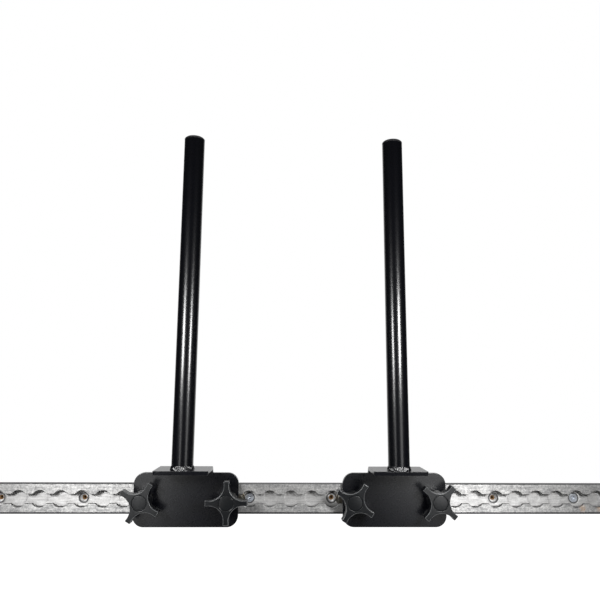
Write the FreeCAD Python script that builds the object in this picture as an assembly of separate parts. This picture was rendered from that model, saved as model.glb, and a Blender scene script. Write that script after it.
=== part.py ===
import FreeCAD, Part
import math
import os
from FreeCAD import Vector

# Boot rack: two bracketed posts, each clamped by two star knobs to one length of slotted track rail.
# Millimetres. X runs along the rail, -Y faces the user, the wall is at +Y, and Z is up.
# The origin is the point where the middle wall screw leaves the back of the rail.

# Track rail
rail_length = 914.4
rail_width = 34.925
rail_thickness = 12.7
rail_edge_radius = 0.8
opening_pitch = 25.4
opening_diameter = 19.8
slot_width = 10.9
lip_thickness = 3.7
floor_thickness = 4.0
channel_width = 20.3
channel_corner_radius = 0.8

# Screw holes in the floor of the channel, and the wall screws
pitches_per_screw_hole = 4
screw_hole_end_margin = 25.0
screw_hole_diameter = 6.0
countersink_diameter = 11.2
countersink_angle = 82.0
screw_head_diameter = 10.6
screw_shank_diameter = 4.1
screw_thread_diameter = 5.5
screw_thread_length = 27.5
screw_tip_length = 7.0
screw_tip_diameter = 0.8
screw_seat_gap = 0.05

# Bracket: a plate with a tongue of its top edge bent forward into a tab
plate_width = 127.0
plate_height = 63.5
plate_thickness = 4.76
plate_corner_radius = 13.5
plate_edge_bevel = 0.5
tab_width = 63.5
tab_depth = 50.8
tab_rise = 8.05
tab_corner_radius = 2.5
bend_inner_radius = 3.2
stud_hole_clearance = 0.45
slide_gap = 0.3

# Where the brackets stand, in openings from the middle of the rail
left_bracket_pitches = -3
right_bracket_pitches = 7
stud_half_span_pitches = 2

# Posts, welds and end plugs
post_diameter = 25.4
post_wall = 1.65
post_length = 406.4
post_set_forward = 36.5
weld_leg = 1.6
weld_height = 5.0
weld_crown = 0.35
plug_head_height = 4.5
plug_dome_height = 1.6
plug_shoulder = 1.2
plug_barb_count = 2
plug_barb_height = 7.0
plug_barb_depth = 1.2
plug_fit_gap = 0.05

# Track studs: two round feet under the lips, a key in the slot and a threaded stud
foot_opening_gap = 2.0
foot_lip_gap = 0.3
foot_floor_gap = 0.5
key_side_gap = 0.3
key_recess = 0.8
stud_diameter = 9.525
stud_past_nut = 2.5
stud_end_chamfer = 1.0

# Washers
washer_diameter = 22.2
washer_thickness = 1.6
washer_hole_clearance = 0.4
seat_gap = 0.2

# Star knobs, their nuts and their caps
knob_diameter = 50.0
knob_height = 20.5
star_thickness = 10.5
arm_count = 4
arm_tip_width = 7.0
arm_tip_corner = 0.8
star_waist_radius = 11.4
star_edge_bevel = 0.8
hub_base_radius = 11.9
hub_top_radius = 11.2
hub_bore_clearance = 0.5
nut_sides = 6
nut_across_flats = 14.29
nut_thickness = 8.3
nut_height_in_knob = 4.2
nut_pocket_gap = 0.05
nut_thread_gap = 0.04
cap_diameter = 17.4
cap_side_gap = 0.15
cap_thickness = 1.3
cap_dome = 0.3
cap_recess = 0.25
left_knob_turns = {"outer": 60.0, "inner": 0.0}
right_knob_turns = {"outer": 47.0, "inner": 57.0}

# Points nearer to each other than this are one point
same_place = 0.001

# Places that follow from the sizes above
opening_radius = opening_diameter / 2
rail_front = -rail_thickness
lip_back = rail_front + lip_thickness
floor_front = -floor_thickness
plate_back = rail_front - slide_gap
plate_front = plate_back - plate_thickness
bend_outer_radius = bend_inner_radius + plate_thickness
tab_top = plate_height / 2 + tab_rise
tab_bottom = tab_top - plate_thickness
tab_front = plate_back - tab_depth
post_axis_y = plate_back - post_set_forward
post_radius = post_diameter / 2
stud_radius = stud_diameter / 2
foot_front = lip_back + foot_lip_gap
foot_back = floor_front - foot_floor_gap
key_front = rail_front + key_recess
washer_back = plate_front - seat_gap
washer_front = washer_back - washer_thickness
knob_base = washer_front - seat_gap
screw_hole_step = pitches_per_screw_hole * opening_pitch
screw_hole_reach = int((rail_length / 2 - screw_hole_end_margin) // screw_hole_step)
countersink_slope = math.tan(math.radians(countersink_angle / 2))


def closed_outline(corners):
    """A closed wire through corners, each a point with the radius that rounds it."""
    count = len(corners)
    entries, exits, middles = [], [], []
    for i, (point, radius) in enumerate(corners):
        back = (corners[i - 1][0] - point).normalize()
        ahead = (corners[(i + 1) % count][0] - point).normalize()
        half = back.getAngle(ahead) / 2
        setback = radius / math.tan(half)
        bisector = (back + ahead).normalize()
        entries.append(point + back * setback)
        exits.append(point + ahead * setback)
        middles.append(point + bisector * (radius / math.sin(half) - radius))
    edges = []
    for i, (point, radius) in enumerate(corners):
        if radius > 0:
            edges.append(Part.Arc(entries[i], middles[i], exits[i]).toShape())
        following = entries[(i + 1) % count]
        if exits[i].distanceToPoint(following) > same_place:
            edges.append(Part.LineSegment(exits[i], following).toShape())
    return Part.Wire(edges)


def prism(corners, sweep):
    """A solid swept from a closed outline along one vector."""
    return Part.Face(closed_outline(corners)).extrude(sweep)


def revolved(profile):
    """A solid of revolution about Z from (radius, height) pairs and arcs.

    An entry with four numbers is an arc: it passes the first pair and ends at the second.
    """
    edges = []
    start = Vector(profile[0][0], 0, profile[0][1])
    first = start
    for entry in profile[1:]:
        end = Vector(entry[-2], 0, entry[-1])
        if len(entry) == 4:
            edges.append(Part.Arc(start, Vector(entry[0], 0, entry[1]), end).toShape())
        else:
            edges.append(Part.LineSegment(start, end).toShape())
        start = end
    edges.append(Part.LineSegment(start, first).toShape())
    face = Part.Face(Part.Wire(edges))
    return Part.makeSolid(face.revolve(Vector(0, 0, 0), Vector(0, 0, 1), 360))


def dome(radius, rim_height, top_height):
    """The profile entry of a spherical dome that starts on a rim and ends on the axis."""
    rise = top_height - rim_height
    sphere_radius = (radius ** 2 + rise ** 2) / (2 * rise)
    half_angle = math.asin(radius / sphere_radius) / 2
    return (
        sphere_radius * math.sin(half_angle),
        top_height - sphere_radius * (1 - math.cos(half_angle)),
        0,
        top_height,
    )


def facing_user(shape, x, y):
    """Turns a piece built up along Z so that it points at the user, and sets it at x, y."""
    turned = shape.copy()
    turned.rotate(Vector(0, 0, 0), Vector(1, 0, 0), 90)
    turned.translate(Vector(x, y, 0))
    return turned


def edges_at_height(shape, height):
    """The edges of a shape that lie flat at one height."""
    return [
        e for e in shape.Edges
        if abs(e.BoundBox.ZMin - height) < same_place and abs(e.BoundBox.ZMax - height) < same_place
    ]


def upright_edges(shape):
    """The straight edges of a prism that run along Z."""
    return [
        e for e in shape.Edges
        if e.BoundBox.XLength < same_place and e.BoundBox.YLength < same_place
    ]


def track_rail():
    """The rail: a T-slotted bar whose slot opens into a round opening at every pitch."""
    half_width = rail_width / 2
    half_slot = slot_width / 2
    half_channel = channel_width / 2
    upper = [
        (0, half_width, rail_edge_radius / 2),
        (rail_front, half_width, rail_edge_radius),
        (rail_front, half_slot, 0),
        (lip_back, half_slot, 0),
        (lip_back, half_channel, channel_corner_radius),
        (floor_front, half_channel, channel_corner_radius),
    ]
    lower = [(y, -z, radius) for y, z, radius in reversed(upper)]
    corners = [(Vector(-rail_length / 2, y, z), radius) for y, z, radius in upper + lower]
    rail = prism(corners, Vector(rail_length, 0, 0))
    reach = int(rail_length / 2 / opening_pitch)
    cutters = []
    for place in range(-reach, reach + 1):
        centre = Vector(place * opening_pitch, rail_front, 0)
        cutters.append(Part.makeCylinder(opening_radius, lip_thickness, centre, Vector(0, 1, 0)))
    for place in range(-screw_hole_reach, screw_hole_reach + 1):
        centre = Vector(place * screw_hole_step, floor_front, 0)
        hole_radius = screw_hole_diameter / 2
        sink_radius = countersink_diameter / 2
        sink_depth = (sink_radius - hole_radius) / countersink_slope
        cutters.append(Part.makeCylinder(hole_radius, floor_thickness, centre, Vector(0, 1, 0)))
        cutters.append(Part.makeCone(sink_radius, hole_radius, sink_depth, centre, Vector(0, 1, 0)))
    return rail.cut(cutters).removeSplitter()


def wall_screws():
    """Countersunk wood screws in the middle screw hole and the last one at each end."""
    head_radius = screw_head_diameter / 2
    shank_radius = screw_shank_diameter / 2
    thread_radius = screw_thread_diameter / 2
    sink_radius = countersink_diameter / 2
    head_top = floor_thickness - (sink_radius - head_radius) / countersink_slope + screw_seat_gap
    head_depth = (head_radius - shank_radius) / countersink_slope
    screw = revolved([
        (0, head_top),
        (head_radius, head_top),
        (shank_radius, head_top - head_depth),
        (shank_radius, 0),
        (thread_radius, 0),
        (thread_radius, -screw_thread_length),
        (screw_tip_diameter / 2, -screw_thread_length - screw_tip_length),
        (0, -screw_thread_length - screw_tip_length),
    ])
    reach = screw_hole_reach * screw_hole_step
    return Part.makeCompound([facing_user(screw, x, 0) for x in (-reach, 0, reach)])


def bracket(centre_x, stud_xs):
    """The bent bracket: plate, tongue, bend and tab in one piece, with two stud holes.

    The bend starts just above the shoulders of the plate, so it needs no relief cuts.
    """
    half_width = plate_width / 2
    half_height = plate_height / 2
    plate = prism(
        [
            (Vector(sx * half_width, sz * half_height, 0), plate_corner_radius)
            for sx, sz in ((-1, -1), (1, -1), (1, 1), (-1, 1))
        ],
        Vector(0, 0, plate_thickness),
    )
    plate = plate.makeChamfer(plate_edge_bevel, edges_at_height(plate, plate_thickness))
    plate = facing_user(plate, centre_x, plate_back)

    half_tab = tab_width / 2
    tongue_foot = half_height - plate_corner_radius
    profile = [
        (plate_back, tongue_foot, 0),
        (plate_back, tab_top, bend_outer_radius),
        (tab_front, tab_top, 0),
        (tab_front, tab_bottom, 0),
        (plate_front, tab_bottom, bend_inner_radius),
        (plate_front, tongue_foot, 0),
    ]
    left_x = centre_x - half_tab
    tongue = prism([(Vector(left_x, y, z), radius) for y, z, radius in profile], Vector(tab_width, 0, 0))
    corners = [e for e in upright_edges(tongue) if abs(e.BoundBox.YMin - tab_front) < same_place]
    tongue = tongue.makeFillet(tab_corner_radius, corners)
    bend_end = plate_back - bend_outer_radius
    rims = [e for e in edges_at_height(tongue, tab_top) if e.BoundBox.YMin < bend_end - same_place]
    tongue = tongue.makeChamfer(plate_edge_bevel, rims)
    body = plate.fuse(tongue)

    hole_radius = stud_radius + stud_hole_clearance
    for x in stud_xs:
        body = body.cut(
            Part.makeCylinder(hole_radius, plate_thickness, Vector(x, plate_front, 0), Vector(0, 1, 0))
        )
    return body.removeSplitter()


def post(centre_x):
    """A round tube that stands on the tab."""
    base = Vector(centre_x, post_axis_y, tab_top)
    outer = Part.makeCylinder(post_radius, post_length, base)
    return outer.cut(Part.makeCylinder(post_radius - post_wall, post_length, base))


def post_weld(centre_x):
    """The fillet weld round the foot of a post, with a slightly raised face."""
    toe = post_radius + weld_leg
    middle_radius = post_radius + weld_leg / 2 + weld_crown
    middle_height = weld_height / 2 + weld_crown
    weld = revolved([
        (post_radius, 0),
        (toe, 0),
        (middle_radius, middle_height, post_radius, weld_height),
    ])
    weld.translate(Vector(centre_x, post_axis_y, tab_top))
    return weld


def post_plug(centre_x):
    """The end plug of a post: a domed head and a stem of barbs inside the tube."""
    barb_radius = post_radius - post_wall - plug_fit_gap
    neck_radius = barb_radius - plug_barb_depth
    rim_height = plug_head_height - plug_dome_height
    stem_end = -plug_barb_count * plug_barb_height
    profile = [(0, stem_end)]
    for barb in range(plug_barb_count):
        low = stem_end + barb * plug_barb_height
        profile += [(neck_radius, low), (barb_radius, low + plug_barb_height)]
    profile += [
        (post_radius, 0),
        (post_radius, rim_height - plug_shoulder),
        (post_radius - plug_shoulder, rim_height),
        dome(post_radius - plug_shoulder, rim_height, plug_head_height),
    ]
    plug = revolved(profile)
    plug.translate(Vector(centre_x, post_axis_y, tab_top + post_length))
    return plug


def nut_front_y():
    """How far forward the nut inside a knob reaches."""
    return knob_base - nut_height_in_knob - nut_thickness


def track_stud(x):
    """A track stud: two feet one pitch apart, joined by the key that carries the stud."""
    foot_radius = opening_radius - foot_opening_gap
    foot_thickness = foot_back - foot_front
    key_radius = slot_width / 2 - key_side_gap
    half_pitch = opening_pitch / 2
    feet = [
        Part.makeCylinder(foot_radius, foot_thickness, Vector(side * half_pitch, 0, 0))
        for side in (-1, 1)
    ]
    key_height = foot_back - key_front
    key = Part.makeBox(opening_pitch, 2 * key_radius, key_height, Vector(-half_pitch, -key_radius, 0))
    for side in (-1, 1):
        key = key.fuse(Part.makeCylinder(key_radius, key_height, Vector(side * half_pitch, 0, 0)))
    stud_height = foot_back - nut_front_y() + stud_past_nut
    stud = revolved([
        (0, 0),
        (stud_radius, 0),
        (stud_radius, stud_height - stud_end_chamfer),
        (stud_radius - stud_end_chamfer, stud_height),
        (0, stud_height),
    ])
    fused = key.fuse(feet + [stud]).removeSplitter()
    return facing_user(fused, x, foot_back)


def washer(x):
    """A flat washer between the plate and a knob."""
    outer = Part.makeCylinder(washer_diameter / 2, washer_thickness)
    hole = Part.makeCylinder(stud_radius + washer_hole_clearance, washer_thickness)
    return facing_user(outer.cut(hole), x, washer_back)


def hexagon(across_flats, height, start):
    """A hexagonal prism along Z, with a corner on X."""
    corner = across_flats / 2 / math.cos(math.pi / nut_sides)
    turns = [2 * math.pi * side / nut_sides for side in range(nut_sides + 1)]
    points = [Vector(corner * math.cos(turn), corner * math.sin(turn), start) for turn in turns]
    return Part.Face(Part.makePolygon(points)).extrude(Vector(0, 0, height))


def cap_seat_height():
    """The height in a knob of the ledge that its cap rests on."""
    return knob_height - cap_recess - cap_thickness


def star_outline():
    """The star's outline: square arm tips with clipped corners, joined by hollow arcs."""
    tip = knob_diameter / 2
    half_tip = arm_tip_width / 2
    step = 2 * math.pi / arm_count
    waist = Vector(star_waist_radius * math.cos(step / 2), star_waist_radius * math.sin(step / 2), 0)
    side_x = tip - arm_tip_corner
    flat_y = half_tip - arm_tip_corner
    tip_points = [
        Vector(side_x, -half_tip, 0),
        Vector(tip, -flat_y, 0),
        Vector(tip, flat_y, 0),
        Vector(side_x, half_tip, 0),
    ]
    following = Vector(
        side_x * math.cos(step) + half_tip * math.sin(step),
        side_x * math.sin(step) - half_tip * math.cos(step),
        0,
    )
    edges = []
    for arm in range(arm_count):
        pieces = [
            Part.LineSegment(start, end).toShape()
            for start, end in zip(tip_points, tip_points[1:])
        ]
        pieces.append(Part.Arc(tip_points[-1], waist, following).toShape())
        for edge in pieces:
            edge.rotate(Vector(0, 0, 0), Vector(0, 0, 1), math.degrees(step) * arm)
            edges.append(edge)
    return Part.Wire(edges)


def star_knob(x, turn):
    """A moulded star knob: star, hub, hexagon pocket for the nut and a recess for the cap."""
    star = Part.Face(star_outline()).extrude(Vector(0, 0, star_thickness))
    star = star.makeChamfer(star_edge_bevel, edges_at_height(star, star_thickness))
    hub_height = knob_height - star_thickness
    star.translate(Vector(0, 0, hub_height))
    hub = revolved([
        (0, 0),
        (hub_base_radius, 0),
        (hub_top_radius, hub_height),
        (hub_top_radius, hub_height + star_thickness / 2),
        (0, hub_height + star_thickness / 2),
    ])
    seat = cap_seat_height()
    bore = Part.makeCylinder(stud_radius + hub_bore_clearance, nut_height_in_knob)
    pocket = hexagon(nut_across_flats + 2 * nut_pocket_gap, seat - nut_height_in_knob, nut_height_in_knob)
    recess = Part.makeCylinder(cap_diameter / 2 + cap_side_gap, knob_height - seat, Vector(0, 0, seat))
    knob = star.fuse(hub).removeSplitter().cut([bore, pocket, recess])
    knob.rotate(Vector(0, 0, 0), Vector(0, 0, 1), turn)
    return facing_user(knob, x, knob_base)


def knob_nut(x, turn):
    """The hexagon nut inside a knob."""
    bore = Part.makeCylinder(stud_radius + nut_thread_gap, nut_thickness)
    nut = hexagon(nut_across_flats, nut_thickness, 0).cut(bore)
    nut.rotate(Vector(0, 0, 0), Vector(0, 0, 1), turn)
    return facing_user(nut, x, knob_base - nut_height_in_knob)


def knob_cap(x):
    """The slightly domed disc that closes the front of a knob."""
    radius = cap_diameter / 2
    rim_height = cap_thickness - cap_dome
    cap = revolved([
        (0, 0),
        (radius, 0),
        (radius, rim_height),
        dome(radius, rim_height, cap_thickness),
    ])
    return facing_user(cap, x, knob_base - cap_seat_height())


def side_nodes(side, place, knob_turns):
    """Every piece of one bracket, by node name."""
    centre_x = place * opening_pitch
    outward = -1 if side == "left" else 1
    half_span = stud_half_span_pitches * opening_pitch
    stud_xs = {"outer": centre_x + outward * half_span, "inner": centre_x - outward * half_span}
    nodes = {
        side + "_bracket": bracket(centre_x, stud_xs.values()),
        side + "_post": post(centre_x),
        side + "_post_weld": post_weld(centre_x),
        side + "_post_plug": post_plug(centre_x),
    }
    for where, x in stud_xs.items():
        name = side + "_" + where
        nodes[name + "_track_stud"] = track_stud(x)
        nodes[name + "_washer"] = washer(x)
        nodes[name + "_knob"] = star_knob(x, knob_turns[where])
        nodes[name + "_knob_nut"] = knob_nut(x, knob_turns[where])
        nodes[name + "_knob_cap"] = knob_cap(x)
    return nodes


nodes = {"track_rail": track_rail(), "wall_screws": wall_screws()}
nodes.update(side_nodes("left", left_bracket_pitches, left_knob_turns))
nodes.update(side_nodes("right", right_bracket_pitches, right_knob_turns))

os.makedirs("parts", exist_ok=True)
for name, shape in nodes.items():
    shape.exportStep("parts/" + name + ".step")
    print(name, "valid" if shape.isValid() else "NOT VALID", len(shape.Solids), round(shape.Volume, 1))
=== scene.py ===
import bmesh
import bpy
import math
import numpy as np
from mathutils import Matrix, Vector
from mathutils.geometry import delaunay_2d_cdt


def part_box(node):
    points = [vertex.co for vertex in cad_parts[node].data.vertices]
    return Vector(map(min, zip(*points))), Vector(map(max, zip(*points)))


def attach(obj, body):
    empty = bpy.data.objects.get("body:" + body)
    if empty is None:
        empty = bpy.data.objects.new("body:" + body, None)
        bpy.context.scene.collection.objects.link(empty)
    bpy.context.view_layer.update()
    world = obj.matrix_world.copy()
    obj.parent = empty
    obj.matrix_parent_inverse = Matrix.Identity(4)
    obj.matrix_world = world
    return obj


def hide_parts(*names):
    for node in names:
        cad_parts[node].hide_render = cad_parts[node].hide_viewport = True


# Boot rack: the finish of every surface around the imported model.
# Sizes are in millimetres and become metres where a mesh is made.
# X runs along the rail, -Y faces the user, Z is up.

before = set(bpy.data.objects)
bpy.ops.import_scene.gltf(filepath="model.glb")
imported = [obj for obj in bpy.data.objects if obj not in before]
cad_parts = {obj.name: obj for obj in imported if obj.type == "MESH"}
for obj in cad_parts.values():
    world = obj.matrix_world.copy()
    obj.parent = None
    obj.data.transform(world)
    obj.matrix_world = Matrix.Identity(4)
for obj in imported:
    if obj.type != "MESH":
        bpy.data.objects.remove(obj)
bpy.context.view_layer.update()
mm = 0.001
samePoint = 1e-6             # metres
sides = ("left", "right")
places = ("outer", "inner")
print("frame loaded:", len(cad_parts), "nodes")


# Mesh helpers

def boxOf(node):
    # lowest and highest corner of a node, in millimetres
    low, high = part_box(node)
    return np.array(low) / mm, np.array(high) / mm


def gridFaces(rows, cols, wrapRows=False, wrapCols=False):
    # quads between neighbouring points of a grid that is stored row by row
    i = np.arange(rows if wrapRows else rows - 1)[:, None]
    j = np.arange(cols if wrapCols else cols - 1)[None, :]
    below = (i + 1) % rows
    beside = (j + 1) % cols
    quads = np.stack([i * cols + j, i * cols + beside, below * cols + beside, below * cols + j], axis=-1)
    return quads.reshape(-1, 4)


def surface(points, wrapRows=False, wrapCols=False):
    # a grid of points, rows by columns by 3, with its faces
    rows, cols = points.shape[:2]
    return points.reshape(-1, 3), gridFaces(rows, cols, wrapRows, wrapCols).tolist()


def arcPoints(centre, radius, start, end, steps):
    # points on an arc: centre + radius (cos a, sin a), with a from start to end in degrees
    a = np.radians(np.linspace(start, end, steps + 1))
    return np.stack([centre[0] + radius * np.cos(a), centre[1] + radius * np.sin(a)], axis=-1)


def roundedPath(corners, steps=5):
    # a closed line through (a, b, radius) corners; each radius is an arc tangent to both of its runs
    points = []
    flat = np.array([c[:2] for c in corners], float)
    for i, (a, b, radius) in enumerate(corners):
        here = flat[i]
        back = flat[i - 1] - here
        ahead = flat[(i + 1) % len(corners)] - here
        back /= np.linalg.norm(back)
        ahead /= np.linalg.norm(ahead)
        if radius <= 0:
            points.append(here[None])
            continue
        half = math.acos(np.clip(back @ ahead, -1, 1)) / 2
        bisector = (back + ahead) / np.linalg.norm(back + ahead)
        centre = here + bisector * radius / math.sin(half)
        first = here + back * radius / math.tan(half) - centre
        last = here + ahead * radius / math.tan(half) - centre
        turn = np.linspace(0, 1, steps + 1)[:, None]
        sweep = math.pi - 2 * half
        arc = (np.sin((1 - turn) * sweep) * first + np.sin(turn * sweep) * last) / math.sin(sweep)
        points.append(centre + arc)
    return np.concatenate(points)


def revolved(profile, steps, closed=True):
    # each (radius, height) of a profile turns about Z: x = r cos t, y = r sin t
    t = np.linspace(0, 2 * np.pi, steps, endpoint=False)
    r, h = profile[:, :1], profile[:, 1:]
    points = np.stack([r * np.cos(t), r * np.sin(t), h + 0 * t], axis=-1)
    return surface(points, closed, True)


def facingUser(points, x, y):
    # a piece built up along Z turns to point at the user and stands at x, y
    return np.stack([points[:, 0] + x, y - points[:, 2], points[:, 1]], axis=-1)


def turned(points, degrees):
    # a turn about Z
    c, s = math.cos(math.radians(degrees)), math.sin(math.radians(degrees))
    return points @ np.array([[c, s, 0], [-s, c, 0], [0, 0, 1]])


def finishMesh(name, parts, fillEnds=False, smoothAngle=40):
    # joins grids that share their borders, closes them and turns every face outwards; a part is its points,
    # its faces and, where it shows wear and a painted highlight, a value from 0 to 1 for each point
    points, faces, wornAndHighlit, start = [], [], [], 0
    for block, quads, *wearAndHighlight in parts:
        points.append(block)
        faces += [[start + v for v in quad] for quad in quads]
        wornAndHighlit.append(wearAndHighlight[0] if wearAndHighlight else np.zeros(len(block)))
        start += len(block)
    mesh = bpy.data.meshes.new(name)
    mesh.from_pydata((np.concatenate(points) * mm).tolist(), [], faces)
    if np.any(np.concatenate(wornAndHighlit)):
        mesh.attributes.new("wearAndHighlight", "FLOAT", "POINT").data.foreach_set("value", np.concatenate(wornAndHighlit))
    bm = bmesh.new()
    bm.from_mesh(mesh)
    bmesh.ops.remove_doubles(bm, verts=bm.verts, dist=samePoint)
    if fillEnds:
        rims = [e for e in bm.edges if e.is_boundary]
        bmesh.ops.holes_fill(bm, edges=rims, sides=0)
    bmesh.ops.recalc_face_normals(bm, faces=bm.faces)
    if bm.calc_volume(signed=True) < 0:     # still inside out
        bmesh.ops.reverse_faces(bm, faces=bm.faces)
    openEdges = sum(not e.is_manifold for e in bm.edges)
    if openEdges:
        print(name, "has", openEdges, "open edges")
    bm.to_mesh(mesh)
    bm.free()
    mesh.shade_smooth()
    mesh.set_sharp_from_angle(angle=math.radians(smoothAngle))
    return mesh


def addPiece(name, parts, body, material, slotName, replaced=(), **options):
    mesh = finishMesh(name, parts, **options)
    mesh.materials.append(material)
    piece = bpy.data.objects.new(name, mesh)
    bpy.context.scene.collection.objects.link(piece)
    weighted = piece.modifiers.new("evenShading", "WEIGHTED_NORMAL")
    weighted.keep_sharp = True
    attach(piece, body)
    if replaced:
        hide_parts(*replaced)
    return piece


# Shader helpers and shared node groups

def addNode(tree, kind, inputs=None, **settings):
    # a node with its settings; inputs maps a socket's name or number to a value or to another socket
    node = tree.nodes.new(kind)
    for key, value in settings.items():
        setattr(node, key, value)
    for key, value in (inputs or {}).items():
        if isinstance(value, bpy.types.NodeSocket):
            tree.links.new(value, node.inputs[key])
        else:
            node.inputs[key].default_value = value
    return node


def math2(tree, operation, a, b=0.0, clamp=False):
    node = addNode(tree, "ShaderNodeMath", {0: a, 1: b}, operation=operation, use_clamp=clamp)
    return node.outputs[0]


def remap(tree, value, low, high, outLow=0.0, outHigh=1.0):
    # a smooth step from low to high
    node = addNode(
        tree, "ShaderNodeMapRange",
        {"Value": value, "From Min": low, "From Max": high, "To Min": outLow, "To Max": outHigh},
        interpolation_type="SMOOTHSTEP",
    )
    return node.outputs[0]


def mixColor(tree, factor, a, b):
    node = addNode(tree, "ShaderNodeMix", {"Factor": factor}, data_type="RGBA")
    for socket, value in ((node.inputs[6], a), (node.inputs[7], b)):
        if isinstance(value, bpy.types.NodeSocket):
            tree.links.new(value, socket)
        else:
            socket.default_value = (*value, 1.0)
    return node.outputs[2]


def mixValue(tree, factor, a, b):
    node = addNode(tree, "ShaderNodeMix", {0: factor, 2: a, 3: b})
    return node.outputs[0]


def newGroup(name, inputs, outputs):
    tree = bpy.data.node_groups.new(name, "ShaderNodeTree")
    for label, kind, default in inputs:
        item = tree.interface.new_socket(name=label, in_out="INPUT", socket_type=kind)
        if default is not None:
            item.default_value = default
    for label in outputs:
        tree.interface.new_socket(name=label, in_out="OUTPUT", socket_type="NodeSocketFloat")
    return tree, tree.nodes.new("NodeGroupInput"), tree.nodes.new("NodeGroupOutput")


def useGroup(tree, group, inputs):
    node = addNode(tree, "ShaderNodeGroup", node_tree=group)
    for key, value in inputs.items():
        if isinstance(value, bpy.types.NodeSocket):
            tree.links.new(value, node.inputs[key])
        else:
            node.inputs[key].default_value = value
    return node.outputs


effects = {
    "wideDetail": 3.0,
    "wideRoughness": 0.55,
    "smallDetail": 5.0,
    "smallRoughness": 0.68,
    "mottleRange": (0.34, 0.66),
    "markLimits": (0.78, 0.62),      # noise above which a mark shows, for an amount of 0 and of 1
    "markEdge": 0.07,
    "markWays": ((14, 0.0), (-31, 3.1), (78, 7.7)),  # degrees and shift
    "markStretch": 0.03,
    "fineGrain": 3.0,                # how much finer the second noise of the grain is
    "fineShare": 0.4,
    "dustScale": 700.0,
    "dustLying": (0.55, 0.95),       # how far a face has to look up
    "dustPatches": (0.4, 0.75),
}


def makeMottle():
    # blotches at two scales: Patches are wide and soft, Fine are small and hard
    tree, given, result = newGroup(
        "mottle",
        [("Vector", "NodeSocketVector", None), ("Patch Scale", "NodeSocketFloat", 50.0),
         ("Fine Scale", "NodeSocketFloat", 300.0)],
        ["Patches", "Fine"],
    )
    wide = addNode(tree, "ShaderNodeTexNoise", {
        "Vector": given.outputs["Vector"], "Scale": given.outputs["Patch Scale"],
        "Detail": effects["wideDetail"], "Roughness": effects["wideRoughness"],
    })
    small = addNode(tree, "ShaderNodeTexNoise", {
        "Vector": given.outputs["Vector"], "Scale": given.outputs["Fine Scale"],
        "Detail": effects["smallDetail"], "Roughness": effects["smallRoughness"],
    })
    for label, noise in (("Patches", wide), ("Fine", small)):
        tree.links.new(remap(tree, noise.outputs[0], *effects["mottleRange"]), result.inputs[label])
    return tree


def makeScratches():
    # thin straight marks in three directions: peaks of noise that is stretched along each of them
    tree, given, result = newGroup(
        "scratches",
        [("Vector", "NodeSocketVector", None), ("Scale", "NodeSocketFloat", 900.0),
         ("Amount", "NodeSocketFloat", 0.5)],
        ["Marks"],
    )
    limit = mixValue(tree, given.outputs["Amount"], *effects["markLimits"])
    top = math2(tree, "ADD", limit, effects["markEdge"])
    total = None
    for degrees, shift in effects["markWays"]:
        aimed = addNode(tree, "ShaderNodeMapping", {
            "Vector": given.outputs["Vector"],
            "Location": (shift, 0, shift),
            "Rotation": (0, math.radians(degrees), 0),
            "Scale": (effects["markStretch"], 1.0, 1.0),
        })
        lines = addNode(tree, "ShaderNodeTexNoise", {
            "Vector": aimed.outputs[0], "Scale": given.outputs["Scale"], "Detail": 1.0,
        })
        marks = remap(tree, lines.outputs[0], limit, top)
        total = marks if total is None else math2(tree, "MAXIMUM", total, marks)
    tree.links.new(total, result.inputs["Marks"])
    return tree


def makeGrain():
    # a fine even skin: two noises of a size and a third of that size
    tree, given, result = newGroup(
        "grain",
        [("Vector", "NodeSocketVector", None), ("Scale", "NodeSocketFloat", 1500.0)],
        ["Height"],
    )
    coarse = addNode(tree, "ShaderNodeTexNoise", {
        "Vector": given.outputs["Vector"], "Scale": given.outputs["Scale"], "Detail": 1.0,
    })
    finer = math2(tree, "MULTIPLY", given.outputs["Scale"], effects["fineGrain"])
    fine = addNode(tree, "ShaderNodeTexNoise", {
        "Vector": given.outputs["Vector"], "Scale": finer, "Detail": 1.0,
    })
    share = math2(tree, "MULTIPLY", fine.outputs[0], effects["fineShare"])
    tree.links.new(math2(tree, "ADD", coarse.outputs[0], share), result.inputs["Height"])
    return tree


def makeDust():
    # dust where the piece's own surface looks up, broken by noise
    tree, given, result = newGroup(
        "dust",
        [("Vector", "NodeSocketVector", None), ("Normal", "NodeSocketVector", None),
         ("Amount", "NodeSocketFloat", 0.3)],
        ["Mask"],
    )
    up = addNode(tree, "ShaderNodeSeparateXYZ", {0: given.outputs["Normal"]}).outputs[2]
    spots = addNode(tree, "ShaderNodeTexNoise", {
        "Vector": given.outputs["Vector"], "Scale": effects["dustScale"], "Detail": 4.0, "Roughness": 0.7,
    })
    lying = remap(tree, up, *effects["dustLying"])
    patchy = remap(tree, spots.outputs[0], *effects["dustPatches"])
    mask = math2(tree, "MULTIPLY", math2(tree, "MULTIPLY", lying, patchy), given.outputs["Amount"])
    tree.links.new(mask, result.inputs["Mask"])
    return tree


mottle = makeMottle()
scratches = makeScratches()
grain = makeGrain()
dust = makeDust()


def newMaterial(name, **plain):
    # a Principled material; plain holds the shader's own constant sockets, with _ for a space
    material = bpy.data.materials.new(name)
    material.use_nodes = True
    tree = material.node_tree
    shader = tree.nodes["Principled BSDF"]
    for key, value in plain.items():
        shader.inputs[key.replace("_", " ")].default_value = value
    coords = tree.nodes.new("ShaderNodeTexCoord")
    return material, tree, shader, coords.outputs["Object"], coords.outputs["Normal"]


def connect(tree, shader, **sockets):
    for key, socket in sockets.items():
        tree.links.new(socket, shader.inputs[key.replace("_", " ")])


def bump(tree, height, strength, distance):
    # distance in millimetres
    node = addNode(tree, "ShaderNodeBump", {
        "Height": height, "Strength": strength, "Distance": distance * mm,
    })
    return node.outputs[0]


# Materials

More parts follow.
